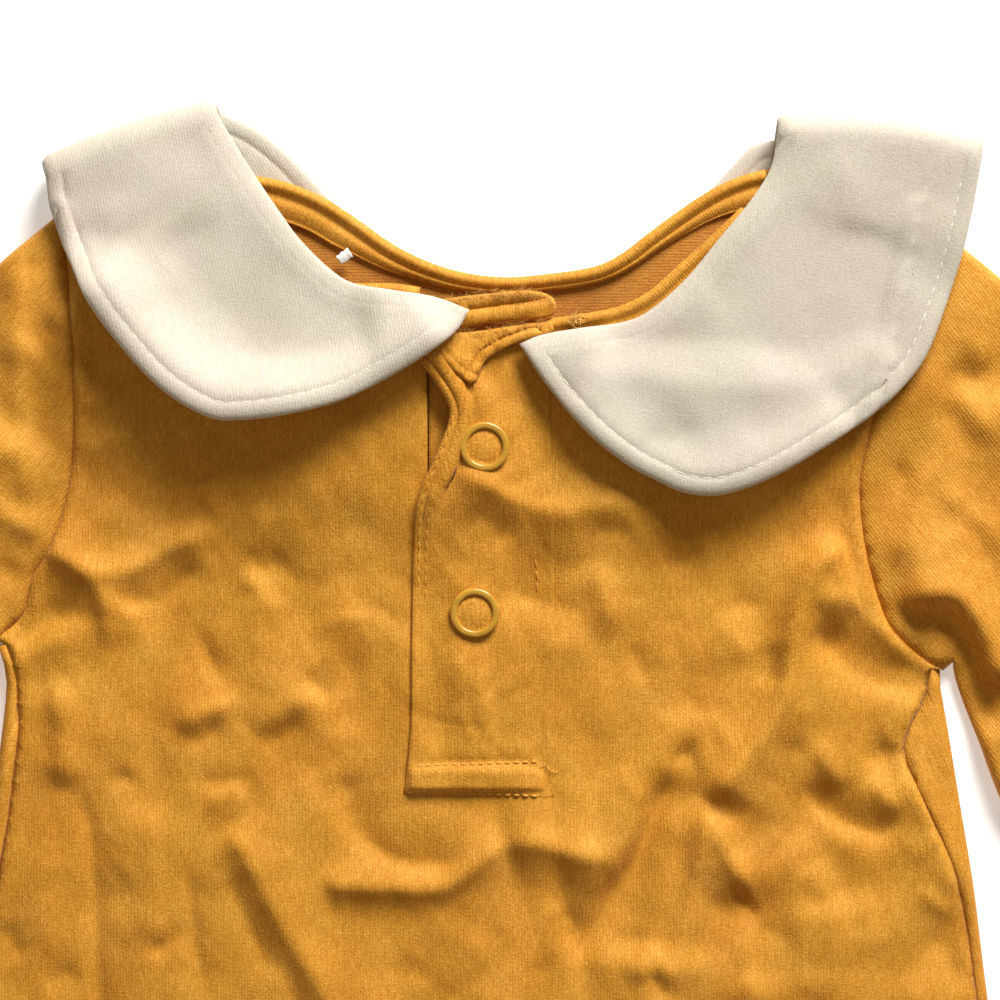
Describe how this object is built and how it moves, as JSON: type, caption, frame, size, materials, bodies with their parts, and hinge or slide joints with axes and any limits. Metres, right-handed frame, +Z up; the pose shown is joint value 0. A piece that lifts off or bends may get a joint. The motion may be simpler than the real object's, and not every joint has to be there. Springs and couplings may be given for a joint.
{
  "type": "baby collared shirt",
  "caption": "Long-sleeved jersey baby top laid flat, face up, with a rounded two-piece collar and a snapped front placket.",
  "frame": {"origin": "on the surface that the shirt lies on, below the middle of its box", "axes": "+X towards the wearer's left, which is the picture's right, +Y towards the neck, +Z up from the surface"},
  "size_m": [0.413, 0.2981, 0.0112],
  "materials": {
    "mustard_jersey": "matte jersey knit",
    "cream_jersey": "matte jersey knit",
    "snap_enamel": "glossy enamel on a metal ring",
    "white_tape": "woven tape"
  },
  "bodies": {
    "root": {"back_panel": "mustard_jersey", "front_panel": "mustard_jersey", "sleeve_left": "mustard_jersey", "sleeve_right": "mustard_jersey", "collar_left": "cream_jersey", "collar_right": "cream_jersey", "neck_binding_left": "mustard_jersey", "neck_binding_right": "mustard_jersey", "neck_binding_back": "mustard_jersey", "placket_underlap": "mustard_jersey", "placket_overlap": "mustard_jersey", "overlap_tab": "mustard_jersey", "underlap_tab": "mustard_jersey", "snap_ring_upper": "snap_enamel", "snap_ring_lower": "snap_enamel", "label_stub": "white_tape", "thread_knot": "mustard_jersey"}
  },
  "joints": []
}
